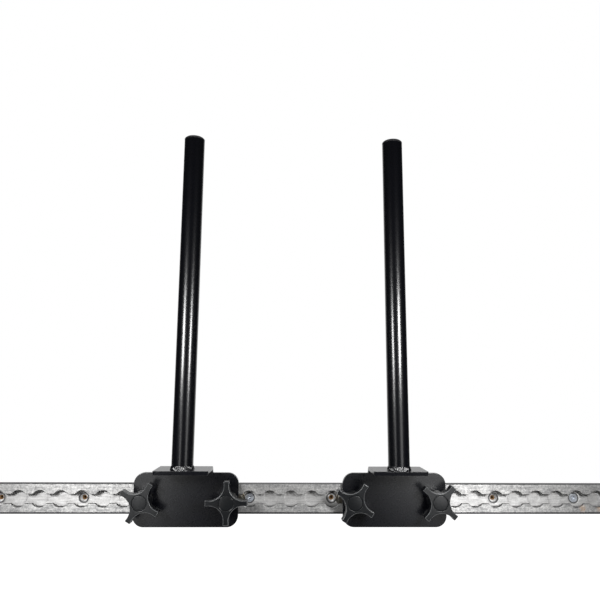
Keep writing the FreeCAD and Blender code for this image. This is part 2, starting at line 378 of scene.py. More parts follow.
railLook = {
    "clean": (0.88, 0.875, 0.86),
    "dull": (0.38, 0.38, 0.385),
    "floor": (0.68, 0.675, 0.67),
    "polished": (0.92, 0.915, 0.905),
    # dark colour of the painted shade along the bottom edge, in the channel's corners and round the screw
    # holes, and of the darker flat top
    "grimeAndShade": (0.07, 0.07, 0.075),
    # painted shade on the lips' cut walls
    "edgeWallShade": (0.22, 0.22, 0.22),
    "scratch": (0.9, 0.9, 0.9),
    "rust": (0.36, 0.21, 0.10),
    "roughLow": 0.62,
    "roughHigh": 0.72,
    "roughGrimeAndShade": 0.62,
    "roughRust": 0.8,
    "rustMetal": 0.85,       # how much of the metal the rust hides
    "spread": 0.7,           # how much wider the brushing spreads light across the rail than along it
    "brushDepth": 0.1,       # how deep the brushing is, in millimetres
    "brushScale": 1500.0,
    "brushStretch": 0.02,
    "streakScale": 520.0,
    "streakStretch": 0.12,
    "streakRange": (0.36, 0.64),
    "blotchScales": (42.0, 330.0),
    "speckScales": (900.0, 1600.0),
    "scratchScale": 900.0,
    "scratchAmount": 0.45,
    "scratchTone": 0.35,
    "scratchDepth": 0.1,     # against the brushing's depth
    "toneFrom": -0.1,
    "toneShares": {"fine": 0.45, "patches": 0.2, "specks": 0.3, "streaks": 0.3},
    "polishShares": {"streaks": 0.6, "specks": 0.4},
    "channelY": (-5.6, -4.6),        # millimetres, as all pairs below: where the floor's finish fades in
    "cutFrontY": (-12.6, -12.3),
    "cutBackY": (-8.8, -9.1),
    "cutReach": (10.8, 10.4),
    "edgeShadeShare": 0.8,
    "topZ": (17.15, 17.4),
    "topShare": 0.8,
    "belowZ": (-15.1, -15.7),
    "cornerReach": (8.8, 9.9),
    "cornerY": (-9.2, -8.6),
    "cornerShare": 0.75,
    "sinkStep": 101.6,       # between screw holes
    "sinkRim": 5.6,          # radius of the painted shade ring round each screw hole's countersink
    "rimInside": (-1.1, -0.5),       # from that radius
    "rimOutside": (1.2, 0.6),
    "rimY": (-6.0, -5.0),
    "rimShadeShare": 0.85,
    "rustCore": 0.35,        # share of a rusty place that is full of it
    "rustSpecks": (0.25, 0.7),
    "rustShare": 0.8,
    "rustPlaces": (          # x, y, z and size
        (-8.5, -4.0, 2.5, 3.0),
        (111.5, -4.0, 0.5, 6.5),
        (413.0, -12.0, -11.0, 6.0),
        (433.5, -12.0, -11.5, 4.5),
    ),
}


def wornAluminium():
    look = railLook
    material, tree, shader, spot, _ = newMaterial(
        "wornAluminium", Metallic=1.0, Anisotropic=look["spread"], Anisotropic_Rotation=0.25,
    )

    def fade(value, ends):
        # a smooth step between two places given in millimetres
        return remap(tree, value, ends[0] * mm, ends[1] * mm)

    def times(a, b):
        return math2(tree, "MULTIPLY", a, b)

    def stretched(amount, scale, detail):
        # noise drawn out along the rail
        drawn = addNode(tree, "ShaderNodeMapping", {"Vector": spot, "Scale": (amount, 1.0, 1.0)}).outputs[0]
        noise = addNode(tree, "ShaderNodeTexNoise", {"Vector": drawn, "Scale": scale, "Detail": detail})
        return noise.outputs[0]

    def shared(layers, shares, start=0.0):
        # the sum of the layers, each by its share
        total = start
        for key, share in shares.items():
            total = math2(tree, "ADD", times(layers[key], share), total)
        return total

    wide, small = look["blotchScales"]
    blotches = useGroup(tree, mottle, {"Vector": spot, "Patch Scale": wide, "Fine Scale": small})
    wide, small = look["speckScales"]
    specks = useGroup(tree, mottle, {"Vector": spot, "Patch Scale": wide, "Fine Scale": small})
    marks = useGroup(tree, scratches, {
        "Vector": spot, "Scale": look["scratchScale"], "Amount": look["scratchAmount"],
    })["Marks"]
    x, y, z = addNode(tree, "ShaderNodeSeparateXYZ", {0: spot}).outputs
    reach = math2(tree, "ABSOLUTE", z)
    brushing = stretched(look["brushStretch"], look["brushScale"], 2.0)
    streaks = remap(tree, stretched(look["streakStretch"], look["streakScale"], 3.0), *look["streakRange"])
    layers = {"fine": blotches["Fine"], "patches": blotches["Patches"], "specks": specks["Patches"],
              "streaks": streaks}

    # the lips are duller than the floor of the channel, which the feet of track fittings polish
    tone = math2(tree, "ADD", shared(layers, look["toneShares"]), look["toneFrom"], clamp=True)
    lips = mixColor(tree, tone, look["dull"], look["clean"])
    floorTone = mixColor(tree, shared(layers, look["polishShares"]), look["floor"], look["polished"])
    base = mixColor(tree, fade(y, look["channelY"]), lips, floorTone)
    base = mixColor(tree, times(marks, look["scratchTone"]), base, look["scratch"])

    # painted shade on the cut walls of the lips round the openings
    edgeWallShadeMask = times(fade(y, look["cutFrontY"]), fade(y, look["cutBackY"]))
    edgeWallShadeMask = times(edgeWallShadeMask, fade(reach, look["cutReach"]))
    base = mixColor(tree, times(edgeWallShadeMask, look["edgeShadeShare"]), base, look["edgeWallShade"])

    # darker on the flat top; painted shade along the lower front edge and the bottom, and painted shade
    # with some dirt in the channel's corners under the lips
    onTop = times(fade(z, look["topZ"]), look["topShare"])
    outerEdge = math2(tree, "MAXIMUM", onTop, fade(z, look["belowZ"]))
    corner = times(fade(reach, look["cornerReach"]), fade(y, look["cornerY"]))
    grimeAndShade = math2(tree, "MAXIMUM", outerEdge, times(corner, look["cornerShare"]))
    base = mixColor(tree, grimeAndShade, base, look["grimeAndShade"])

    # a painted shade ring round each screw hole's countersink, whose distance is x folded at every screw
    # hole
    folded = math2(tree, "PINGPONG", x, look["sinkStep"] / 2 * mm)
    away = addNode(tree, "ShaderNodeCombineXYZ", {0: folded, 2: z}).outputs[0]
    away = addNode(tree, "ShaderNodeVectorMath", {0: away}, operation="LENGTH").outputs["Value"]
    ring = [fade(away, [look["sinkRim"] + d for d in look[key]]) for key in ("rimInside", "rimOutside")]
    ring = times(times(*ring), fade(y, look["rimY"]))
    base = mixColor(tree, times(ring, look["rimShadeShare"]), base, look["grimeAndShade"])

    # rust and dirt that gathered at a few openings
    rusty = None
    for *place, size in look["rustPlaces"]:
        centre = tuple(v * mm for v in place)
        away = addNode(tree, "ShaderNodeVectorMath", {0: spot, 1: centre}, operation="DISTANCE")
        near = fade(away.outputs["Value"], (size, size * look["rustCore"]))
        rusty = near if rusty is None else math2(tree, "MAXIMUM", rusty, near)
    rusty = times(rusty, remap(tree, specks["Fine"], *look["rustSpecks"]))
    base = mixColor(tree, times(rusty, look["rustShare"]), base, look["rust"])

    rough = mixValue(tree, tone, look["roughHigh"], look["roughLow"])
    rough = mixValue(tree, grimeAndShade, rough, look["roughGrimeAndShade"])
    rough = mixValue(tree, rusty, rough, look["roughRust"])
    metal = math2(tree, "SUBTRACT", 1.0, times(rusty, look["rustMetal"]))
    relief = math2(tree, "SUBTRACT", brushing, times(marks, look["scratchDepth"]))
    normal = bump(tree, relief, 1.0, look["brushDepth"])
    connect(tree, shader, Base_Color=base, Roughness=rough, Metallic=metal, Normal=normal)
    return material


coatLook = {
    "dark": (0.0006, 0.0010, 0.0030),
    "light": (0.0010, 0.0014, 0.0038),
    "dust": (0.35, 0.34, 0.33),
    "dustAmount": 0.10,
    "dustRough": 0.8,
    "rough": (0.27, 0.31),
    "toneScales": (30.0, 600.0),
    "grainScale": 1100.0,
    "grainShow": 0.08,
    "grainDepth": 0.06,
}
tubeLook = {
    "dark": (0.0006, 0.0008, 0.0022),
    "light": (0.0010, 0.0012, 0.0028),
    "rough": (0.225, 0.25),
    "toneScales": (25.0, 500.0),
    "grainScale": 350.0,
    "grainShow": 0.02,
    "grainDepth": 0.02,
}


def coated(tree, spot, look):
    # what both black coats have: two close tones, a roughness that varies and a grain
    wide, small = look["toneScales"]
    skin = useGroup(tree, grain, {"Vector": spot, "Scale": look["grainScale"]})["Height"]
    tones = useGroup(tree, mottle, {"Vector": spot, "Patch Scale": wide, "Fine Scale": small})
    base = mixColor(tree, tones["Patches"], look["dark"], look["light"])
    rough = mixValue(tree, tones["Fine"], *look["rough"])
    return base, rough, bump(tree, skin, look["grainShow"], look["grainDepth"])


def blackPowderCoat():
    look = coatLook
    material, tree, shader, spot, facing = newMaterial("blackPowderCoat", IOR=1.7)
    base, rough, normal = coated(tree, spot, look)
    lying = useGroup(tree, dust, {"Vector": spot, "Normal": facing, "Amount": look["dustAmount"]})["Mask"]
    base = mixColor(tree, lying, base, look["dust"])
    rough = math2(tree, "ADD", rough, math2(tree, "MULTIPLY", lying, look["dustRough"]))
    connect(tree, shader, Base_Color=base, Roughness=rough, Normal=normal)
    return material


def glossyBlackTube():
    material, tree, shader, spot, _ = newMaterial("glossyBlackTube", IOR=1.7)
    base, rough, normal = coated(tree, spot, tubeLook)
    connect(tree, shader, Base_Color=base, Roughness=rough, Normal=normal)
    return material


plasticLooks = {
    "knobPlastic": {
        "dark": (0.0014, 0.0024, 0.0036),
        "light": (0.0022, 0.0034, 0.0048),
        # lighter edges: wear and a painted highlight
        "wornAndHighlit": (0.17, 0.175, 0.18),
        "rough": (0.31, 0.36),
    },
    "plugPlastic": {
        "dark": (0.010, 0.010, 0.012),
        "light": (0.014, 0.014, 0.016),
        "wornAndHighlit": (0.05, 0.05, 0.055),
        "rough": (0.5, 0.6),
    },
}
plasticSkin = {
    "dust": (0.3, 0.29, 0.28),
    "dustAmount": 0.06,
    "scratch": (0.05, 0.05, 0.055),
    "scratchScale": 1300.0,
    "scratchAmount": 0.3,
    "scratchTone": 0.25,
    "toneScales": (60.0, 900.0),
    "highlightWearBreaks": 0.8,       # blotch value from which the worn edges with their painted highlight show in full
    "highlightWearLeast": 0.35,
    "grainScale": 2600.0,
    "grainShow": 0.3,
    "grainDepth": 0.04,
}


def mouldedPlastic(name):
    look = {**plasticSkin, **plasticLooks[name]}
    material, tree, shader, spot, facing = newMaterial(name, IOR=1.7)
    base, rough, normal = coated(tree, spot, look)
    wide, small = look["toneScales"]
    tones = useGroup(tree, mottle, {"Vector": spot, "Patch Scale": wide, "Fine Scale": small})
    lying = useGroup(tree, dust, {"Vector": spot, "Normal": facing, "Amount": look["dustAmount"]})["Mask"]
    rubbed = useGroup(tree, scratches, {
        "Vector": spot, "Scale": look["scratchScale"], "Amount": look["scratchAmount"],
    })["Marks"]
    base = mixColor(tree, math2(tree, "MULTIPLY", rubbed, look["scratchTone"]), base, look["scratch"])
    base = mixColor(tree, lying, base, look["dust"])
    # edges that hands have rubbed, lightened further by a painted highlight: the mesh's own wear value,
    # broken up by the blotches
    rubbedAndHighlit = addNode(tree, "ShaderNodeAttribute", attribute_name="wearAndHighlight").outputs["Fac"]
    broken = remap(tree, tones["Fine"], 0.0, look["highlightWearBreaks"], look["highlightWearLeast"], 1.0)
    base = mixColor(tree, math2(tree, "MULTIPLY", rubbedAndHighlit, broken), base, look["wornAndHighlit"])
    connect(tree, shader, Base_Color=base, Roughness=rough, Normal=normal)
    return material


zincLooks = {
    "screwZinc": {
        "clean": (0.82, 0.86, 0.93),
        "dull": (0.56, 0.60, 0.66),
        "stain": (0.2, 0.17, 0.14),
        "stained": 0.25,
        "rough": (0.58, 0.46),
    },
    "studZinc": {
        "clean": (0.52, 0.51, 0.48),
        "dull": (0.28, 0.26, 0.22),
        "stain": (0.16, 0.12, 0.07),
        "stained": 0.6,
        "rough": (0.45, 0.28),
    },
}
zincSkin = {
    "scratch": (0.85, 0.87, 0.9),
    "scratchScale": 2200.0,
    "scratchAmount": 0.5,
    "scratchTone": 0.4,
    "toneScales": (220.0, 1500.0),
    "grainShow": 0.15,
    "grainDepth": 0.03,
}


def zincSteel(name):
    look = {**zincSkin, **zincLooks[name]}
    material, tree, shader, spot, _ = newMaterial(name, Metallic=1.0)
    wide, small = look["toneScales"]
    tones = useGroup(tree, mottle, {"Vector": spot, "Patch Scale": wide, "Fine Scale": small})
    rubbed = useGroup(tree, scratches, {
        "Vector": spot, "Scale": look["scratchScale"], "Amount": look["scratchAmount"],
    })["Marks"]
    base = mixColor(tree, tones["Fine"], look["dull"], look["clean"])
    base = mixColor(tree, math2(tree, "MULTIPLY", rubbed, look["scratchTone"]), base, look["scratch"])
    base = mixColor(tree, math2(tree, "MULTIPLY", tones["Patches"], look["stained"]), base, look["stain"])
    rough = mixValue(tree, tones["Fine"], *look["rough"])
    normal = bump(tree, tones["Fine"], look["grainShow"], look["grainDepth"])
    connect(tree, shader, Base_Color=base, Roughness=rough, Normal=normal)
    return material


aluminium = wornAluminium()
powderCoat = blackPowderCoat()
tubeCoat = glossyBlackTube()
knobPlastic = mouldedPlastic("knobPlastic")
plugPlastic = mouldedPlastic("plugPlastic")
screwZinc = zincSteel("screwZinc")
studZinc = zincSteel("studZinc")
print("materials made")


# Track rail

railSize = {
    "pitch": 25.4,
    "openingRadius": 9.9,
    "halfSlot": 5.45,
    "lip": 3.7,
    "floor": 4.0,
    "halfChannel": 10.15,
    "frontRound": 0.8,
    "backRound": 0.4,
    "lipRound": 0.75,
    "innerRound": 0.1,
    "cornerRound": 0.8,
    "patchHalf": 8.3,        # half height of the strip of floor and back that holds pockets and holes
    "pocketRadius": 7.3,     # the shallow mark that the cutter of each opening left in the floor
    "pocketDepth": 0.15,
    "pocketWall": 0.45,
    "pocketRings": (0.66, 0.33, 0.0),    # shares of the pocket's radius
    "holeEvery": 4,
    "holeReach": 4,
    "holeRadius": 3.0,
    "holeEdge": 0.15,
    "sinkRadius": 5.6,
    "sinkAngle": 82.0,
    "sinkEdge": 0.25,
    "sinkEdgeDrop": 0.04,
    "tightShare": 0.9,       # of the room behind a lip, for the channel's corner at an opening
    "arcSteps": 20,
    "slotSteps": 4,
    "acrossSteps": 12,
}


def buildRail():
    # a T-slot profile carried along X; its lip edge follows w(x) = max(half slot, sqrt(R^2 - dx^2))
    s = railSize
    low, high = boxOf("track_rail")
    pitch, radius = s["pitch"], s["openingRadius"]
    front, top = low[1], high[2]
    lipBack = front + s["lip"]
    floor = -s["floor"]
    reach = round(high[0] / pitch)
    end = reach * pitch + samePoint
    reachX = math.sqrt(radius ** 2 - s["halfSlot"] ** 2)
    turn = math.asin(reachX / radius)
    cell = radius * np.sin(np.linspace(-turn, turn, s["arcSteps"] + 1))
    cell[s["arcSteps"] // 2] = 0.0
    gap = np.linspace(reachX, pitch - reachX, s["slotSteps"] + 1)[1:-1]
    x = np.concatenate([k * pitch + np.concatenate([cell, gap]) for k in range(-reach, reach + 1)])
    x = x[np.abs(x) < end]
    away = (x + pitch / 2) % pitch - pitch / 2
    w = np.maximum(s["halfSlot"], np.sqrt(np.maximum(radius ** 2 - away ** 2, 0)))
    one = np.ones_like(x)

    def quarter(steps):
        return np.radians(np.linspace(0, 90, steps + 1))

    rows = [(0 * one, s["patchHalf"] * one)]
    for a in quarter(3):
        r = s["backRound"]
        rows.append(((-r + r * math.cos(a)) * one, (top - r + r * math.sin(a)) * one))
    for a in quarter(4):
        r = s["frontRound"]
        rows.append(((front + r - r * math.sin(a)) * one, (top - r + r * math.cos(a)) * one))
    for a in quarter(3):
        r = s["lipRound"]
        rows.append(((front + r - r * math.cos(a)) * one, w + r - r * math.sin(a)))
    for a in quarter(2):
        r = s["innerRound"]
        rows.append(((lipBack - r + r * math.sin(a)) * one, w + r - r * math.cos(a)))
    tight = np.minimum(s["cornerRound"], s["tightShare"] * (s["halfChannel"] - w - s["innerRound"]))
    for a in quarter(3):
        rows.append((lipBack + tight * (1 - math.cos(a)), s["halfChannel"] - tight * (1 - math.sin(a))))
    for a in quarter(3):
        r = s["cornerRound"]
        height = s["halfChannel"] - r + r * math.cos(a)
        rows.append(((floor - r + r * math.sin(a)) * one, height * one))
    rows.append((floor * one, s["patchHalf"] * one))
    shell = np.array([np.stack([x, y, z], axis=-1) for y, z in rows])
    parts = [surface(shell), surface(shell * np.array([1, 1, -1]))]

    # floor and back between the cells
    across = np.linspace(-s["patchHalf"], s["patchHalf"], s["acrossSteps"] + 1)

    def strip(stations, y):
        grid = np.zeros((len(stations), len(across), 3))
        grid[..., 0] = stations[:, None]
        grid[..., 1] = y
        grid[..., 2] = across[None, :]
        return surface(grid)

    between = np.concatenate([[reachX], gap, [pitch - reachX]])
    for k in range(-reach, reach):
        parts.append(strip(k * pitch + between, floor))
        parts.append(strip(k * pitch + between, 0.0))

    # each cell's floor is rings from its square border to a round pocket, and to a screw hole or a pole
    half = s["arcSteps"] // 2
    right = np.stack([0 * across + cell[-1], across], axis=-1)
    bottomRight = np.stack([cell[half:-1], 0 * cell[half:-1] + across[0]], axis=-1)
    topRight = np.stack([cell[half:-1][::-1], 0 * cell[half:-1] + across[-1]], axis=-1)
    rightBorder = np.concatenate([bottomRight, right, topRight])
    leftBorder = (rightBorder * np.array([-1, 1]))[::-1]
    wholeBorder = np.concatenate([rightBorder, leftBorder[1:-1]])
    slope = math.tan(math.radians(s["sinkAngle"] / 2))
    pocketFloor = floor + s["pocketDepth"]
    sinkTop = s["sinkRadius"] - s["pocketDepth"] * slope
    sinkEnd = floor + (s["sinkRadius"] - s["holeRadius"]) / slope
    outer = s["pocketRadius"] + s["pocketWall"] / 2
    inner = s["pocketRadius"] - s["pocketWall"] / 2

    def rings(border, steps, centre):
        # each ring is the border, or a circle at the border's own polar angles
        angle = np.arctan2(border[:, 1], border[:, 0])
        angle = np.where(np.abs(border[:, 0]) < samePoint, np.sign(border[:, 1]) * np.pi / 2, angle)
        circle = np.stack([np.cos(angle), np.sin(angle)], axis=-1)
        circle[np.abs(circle) < samePoint] = 0
        grid = []
        for kind, size, y in steps:
            flat = border if kind == "border" else circle * size
            if kind == "between":
                flat = (border + circle * size) / 2
            grid.append(np.stack([centre + flat[:, 0], y + 0 * angle, flat[:, 1]], axis=-1))
        return np.array(grid)

    hole = s["holeRadius"]
    floorSteps = [
        ("border", 0, floor),
        ("between", outer, floor),
        ("circle", outer, floor),
        ("circle", (outer + inner) / 2, (floor + pocketFloor) / 2),
        ("circle", inner, pocketFloor),
    ]
    plainSteps = floorSteps + [("circle", inner * share, pocketFloor) for share in s["pocketRings"]]
    holeSteps = floorSteps + [
        ("circle", sinkTop + s["sinkEdge"], pocketFloor),
        ("circle", sinkTop, pocketFloor + s["sinkEdgeDrop"]),
        ("circle", hole, sinkEnd),
        ("circle", hole, -s["holeEdge"]),
        ("circle", hole + s["holeEdge"], 0.0),
        ("between", hole + 2, 0.0),
        ("border", 0, 0.0),
    ]
    for k in range(-reach, reach + 1):
        drilled = k % s["holeEvery"] == 0 and abs(k) <= s["holeEvery"] * s["holeReach"]
        border, wrap = wholeBorder, True
        if abs(k) == reach:
            border, wrap = (rightBorder if k < 0 else leftBorder), False
        parts.append(surface(rings(border, holeSteps if drilled else plainSteps, k * pitch), False, wrap))
        if not drilled:
            stations = k * pitch + cell
            parts.append(strip(stations[np.abs(stations) < end], 0.0))
    return addPiece("trackRail", parts, "rail", aluminium, "rail_aluminium", ["track_rail"],
                    fillEnds=True)


buildRail()
print("track rail made")


# Threads and screws

def threadRadius(height, turn, crest, root, lead, flat):
    # a thread's radius: a ridge that repeats each lead, with phase height / lead - turn
    phase = (height / lead - turn) % 1.0
    ridge = np.clip((0.5 - np.abs(phase - 0.5)) * 2 / (1 - flat), 0, 1)
    return root + (crest - root) * ridge


screwSize = {
    "headRadius": 5.3,
    "headEdge": 0.25,
    "headBottomRadius": 2.05,
    "sinkAngle": 82.0,
    "crossReach": 2.9,
    "crossHalfWidth": 0.72,
    "crossDepth": 2.1,
    "crossWall": 0.32,
    "crossTaper": 0.25,      # how much narrower each arm of the cross is at its end
    "crossRise": 0.6,        # how much shallower
    "fineTo": 3.4,           # the head's rows are close inside this radius
    "coarseFrom": 3.7,
    "fineRows": 26,
    "coarseRows": 5,
    "crestRadius": 2.75,
    "rootRadius": 1.9,
    "lead": 2.6,
    "threadLength": 27.5,
    "threadStart": 1.5,      # length over which the thread rises from the shank
    "flat": 0.35,            # share of the lead that is flat root
    "rowsPerLead": 12,
    "tipRadius": 0.4,
    "turns": {-16: 18.0, 0: 52.0, 16: 33.0},
    "around": 96,
}


def buildScrews():
    # rows of radius r(s, t) along the axis: a head with a cross recess, a shank, a thread and a tapered tip
    s = screwSize
    low, high = boxOf("wall_screws")
    t = np.linspace(0, 2 * np.pi, s["around"], endpoint=False)
    headTop = low[1]
    headDrop = (s["headRadius"] - s["headBottomRadius"]) / math.tan(math.radians(s["sinkAngle"] / 2))
    parts = []
    for place, degrees in s["turns"].items():
        turn = math.radians(degrees)
        r = np.concatenate([
            np.linspace(0, s["fineTo"], s["fineRows"]),
            np.linspace(s["coarseFrom"], s["headRadius"] - s["headEdge"], s["coarseRows"]),
        ])
        a, b = np.abs(r[:, None] * np.cos(t + turn)), np.abs(r[:, None] * np.sin(t + turn))
        reach = s["crossReach"]
        width = s["crossHalfWidth"] * (1 - s["crossTaper"] * np.maximum(a, b) / reach)
        inside = np.minimum(np.maximum(b - width, a - reach), np.maximum(a - width, b - reach))
        sunk = np.clip(-inside / s["crossWall"], 0, 1)
        sunk = sunk * sunk * (3 - 2 * sunk)
        depth = sunk * s["crossDepth"] * (1 - s["crossRise"] * np.clip(r[:, None] / reach, 0, 1))
        head = np.stack([r[:, None] * np.cos(t), headTop + depth, r[:, None] * np.sin(t)], axis=-1)

        e = s["headEdge"]
        edge = np.radians(np.linspace(30, 150, 5))[:, None]
        rimR = s["headRadius"] - e + e * np.sin(edge)
        rimY = headTop + e - e * np.cos(edge)
        rim = np.stack([rimR * np.cos(t), rimY + 0 * t, rimR * np.sin(t)], axis=-1)

        threadRows = np.arange(0, high[1] + samePoint, s["lead"] / s["rowsPerLead"])
        h = np.concatenate([np.linspace(headTop + headDrop, -0.3, 4), threadRows])
        shank = s["headBottomRadius"]
        along = np.clip((h - s["threadLength"]) / (high[1] - s["threadLength"]), 0, 1)[:, None]
        crest = s["crestRadius"] * (1 - along) + s["tipRadius"] * along
        root = s["rootRadius"] * (1 - along) + s["tipRadius"] * 0.8 * along
        start = np.clip(h / s["threadStart"], 0, 1)[:, None]
        ridge = threadRadius(h[:, None], t / (2 * np.pi), crest, root, s["lead"], s["flat"])
        bodyR = np.where(h[:, None] < 0, shank, shank * (1 - start) + ridge * start)
        body = np.stack([bodyR * np.cos(t), h[:, None] + 0 * t, bodyR * np.sin(t)], axis=-1)
        tip = np.zeros((1, s["around"], 3))
        tip[..., 1] = high[1]
        rows = np.concatenate([head, rim, body, tip])
        rows[..., 0] += place * railSize["pitch"]
        parts.append(surface(rows, False, True))
    return addPiece("wallScrews", parts, "rail", screwZinc, "zinc_steel", ["wall_screws"],
                    smoothAngle=35)


buildScrews()


studSize = {
    "footRadius": 7.9,
    "footEdge": 0.5,
    "lipGap": 0.3,           # between a foot and the lips
    "keyHalf": 5.15,
    "keyEdge": 0.4,
    "keyFront": -11.9,
    "keySteps": 18,
    "threadCrest": 4.7625,
    "threadRoot": 4.1,
    "threadSink": 1.0,       # how far the thread starts inside the key
    "lead": 1.5875,
    "flat": 0.2,
    "rowsPerLead": 10,
    "endChamfer": 1.0,
    "around": 72,
}


def buildStud(side, where):
    # two round feet, a key shaped like a running track between them, and a threaded stud
    s = studSize
    node = f"{side}_{where}_track_stud"
    low, high = boxOf(node)
    x = (low[0] + high[0]) / 2
    back = high[1]
    footFront = boxOf("track_rail")[0][1] + railSize["lip"] + s["lipGap"]
    halfPitch = railSize["pitch"] / 2
    e = s["footEdge"]
    thick = back - footFront
    foot = roundedPath([(0, 0, 0), (s["footRadius"], 0, e), (s["footRadius"], thick, e), (0, thick, 0)])
    parts = []
    for way in (-1, 1):
        points, faces = revolved(foot, s["around"], False)
        parts.append((facingUser(points, x + way * halfPitch, back), faces))

    e = s["keyEdge"]
    n = s["keySteps"]
    ends = [arcPoints((halfPitch, 0), 1.0, -90, 90, n), arcPoints((-halfPitch, 0), 1.0, 90, 270, n)]
    centres = np.concatenate([np.full((n + 1, 1), halfPitch), np.full((n + 1, 1), -halfPitch)])
    unit = np.concatenate(ends) - np.concatenate([centres, 0 * centres], axis=1)
    rise = back - s["keyFront"]
    rim = roundedPath([(s["keyHalf"], 0.1, 0), (s["keyHalf"], rise, e), (2.0, rise, 0)])[:-1]
    key = np.array([
        np.stack([centres[:, 0] + r * unit[:, 0], r * unit[:, 1], 0 * unit[:, 0] + h], axis=-1)
        for r, h in rim
    ])
    points, faces = surface(key, False, True)
    parts.append((facingUser(points, x, back), faces))

    t = np.linspace(0, 2 * np.pi, s["around"], endpoint=False)
    length = back - low[1]
    h = np.arange(rise - s["threadSink"], length, s["lead"] / s["rowsPerLead"])
    h = np.append(h[h < length - 0.05], length)[:, None]
    crest = s["threadCrest"] - np.clip(h - (length - s["endChamfer"]), 0, None)
    root = np.minimum(s["threadRoot"], crest - 0.05)
    ridge = threadRadius(h, t / (2 * np.pi), crest, root, s["lead"], s["flat"])
    stud = np.stack([ridge * np.cos(t), ridge * np.sin(t), h + 0 * t], axis=-1)
    points, faces = surface(stud, False, True)
    parts.append((facingUser(points, x, back), faces))
    return addPiece(f"{side}_{where}_trackStud", parts, f"{side}_bracket", studZinc, "zinc_steel",
                    [node], fillEnds=True, smoothAngle=35)


for side in sides:
    for where in places:
        buildStud(side, where)
print("screws and studs made")


# Brackets

bracketSize = {
    "cornerRadius": 13.5,
    "thickness": 4.76,
    "edge": 0.5,
    "tabHalf": 31.75,
    "tabCorner": 2.5,
    "bendInner": 3.2,
    "innerFillet": 1.0,      # where the tongue's sides run out into the plate's shoulders
    "endLean": 9.0,          # degrees by which the sheared end of the tab leans back below
    "leanRun": 6.0,
    "holeRadius": 5.2125,
    "bendSteps": 12,
    "cornerSteps": 16,
    "holeSteps": 48,
}


def offsetLoop(loop, distance):
    # moves a closed line into its material: each point along its mean normal, over the half angle's cosine
    ahead = np.roll(loop, -1, axis=0) - loop
    ahead /= np.linalg.norm(ahead, axis=1, keepdims=True)
    behind = np.roll(ahead, 1, axis=0)
    normal = np.stack([-(ahead + behind)[:, 1], (ahead + behind)[:, 0]], axis=-1)
    normal /= np.linalg.norm(normal, axis=1, keepdims=True)
    cosine = np.abs(normal[:, 0] * -ahead[:, 1] + normal[:, 1] * ahead[:, 0])
    return loop + normal * (distance / cosine)[:, None]


